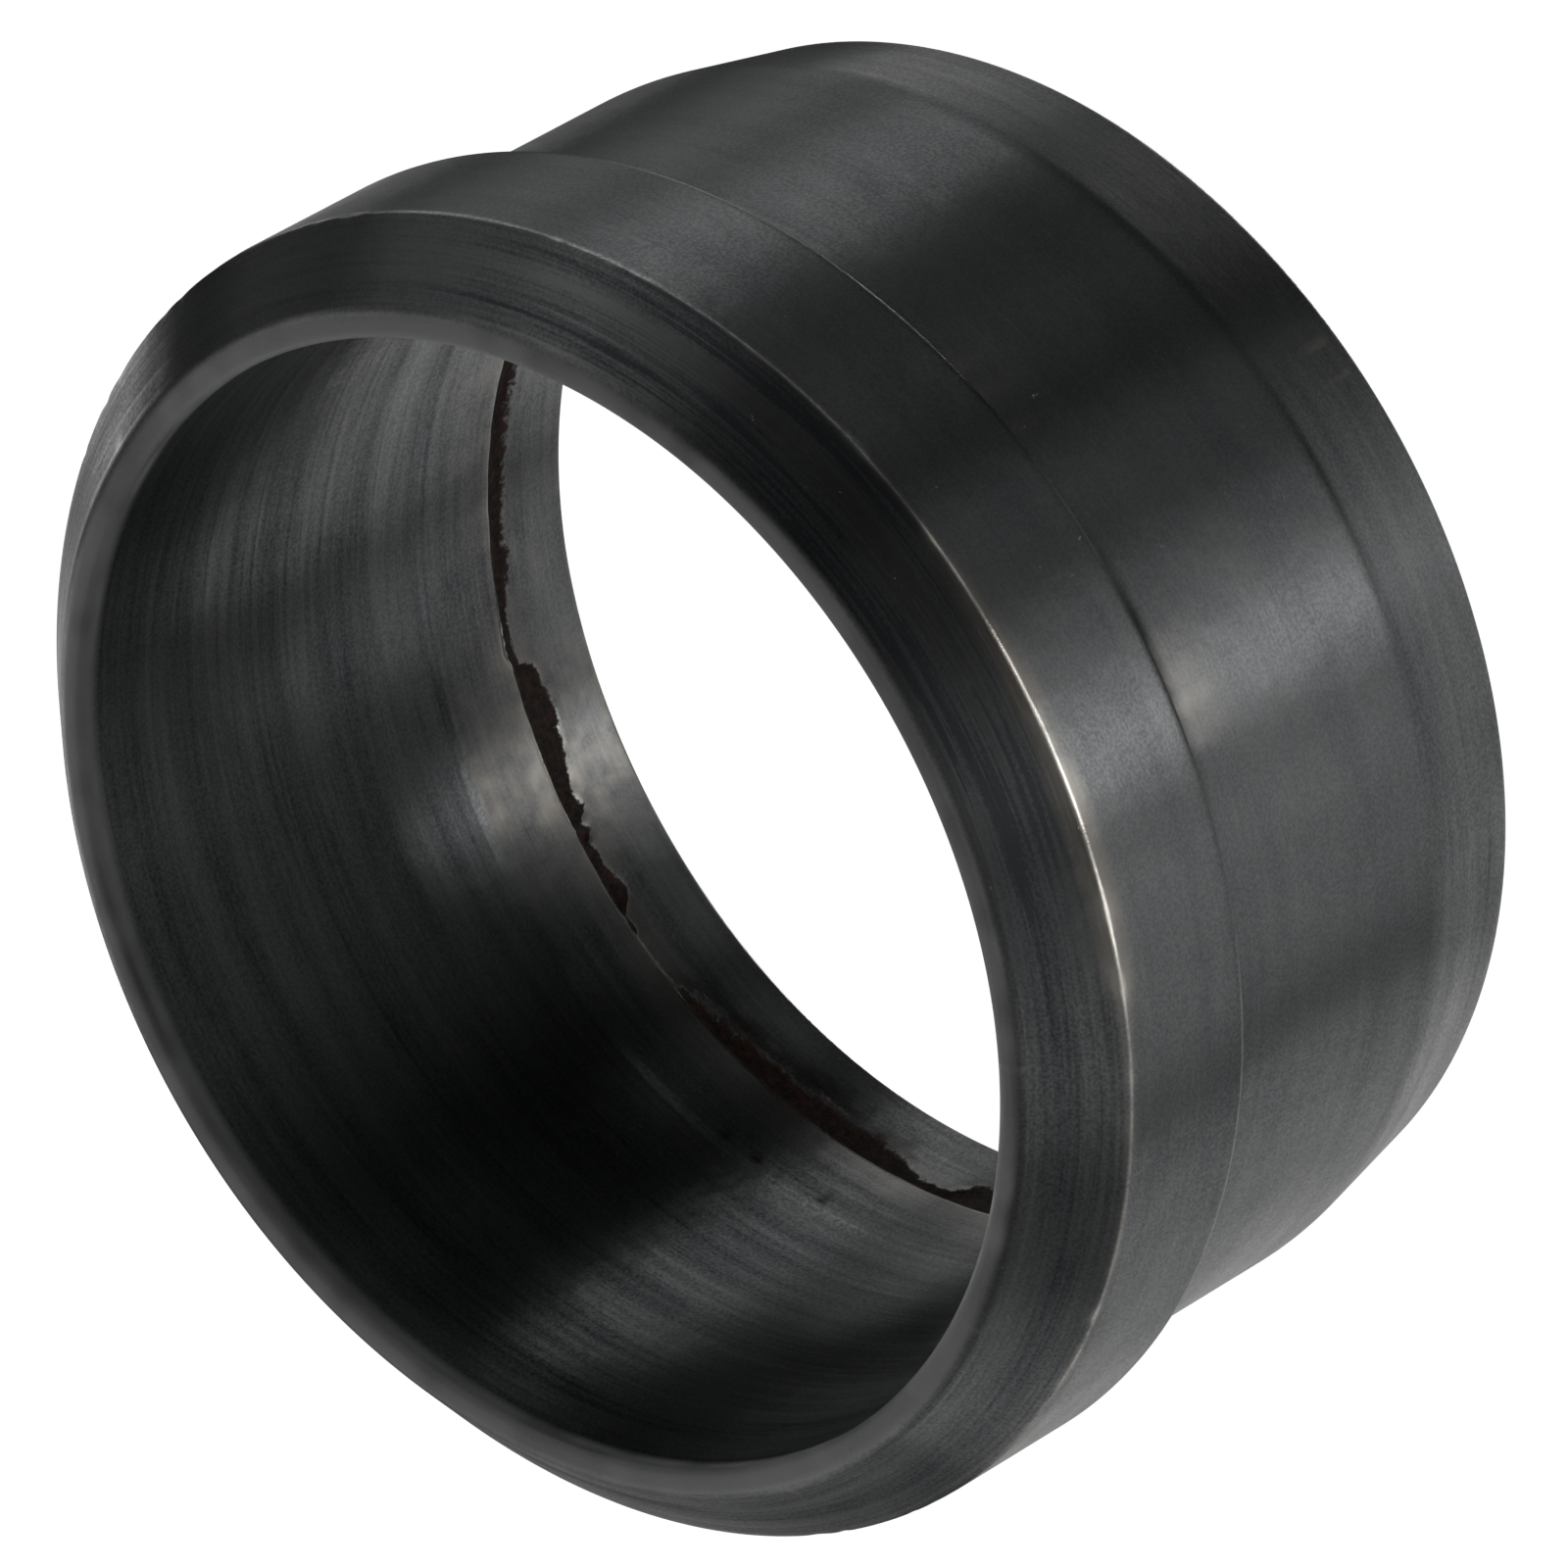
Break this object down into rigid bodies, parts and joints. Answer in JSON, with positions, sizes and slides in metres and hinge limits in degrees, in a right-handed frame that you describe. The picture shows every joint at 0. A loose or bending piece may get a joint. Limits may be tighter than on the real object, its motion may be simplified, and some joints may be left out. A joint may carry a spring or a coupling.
{
  "type": "bite ring",
  "caption": "Turned steel bite ring for a compression tube fitting, with a nut cone, a raised collar, a tapered nose and cutting edges in the bore.",
  "frame": {"origin": "centre of the nose's flat end face, which the ring stands on", "axes": "+Z along the ring's axis, from the cutting nose up to the nut's cone"},
  "size_m": [0.0236, 0.0236, 0.0123],
  "materials": {
    "blackened_steel": "turned, black-oxide coated and oiled, worn bright along its edges"
  },
  "bodies": {
    "root": {"bite_ring": "blackened_steel"}
  },
  "joints": []
}
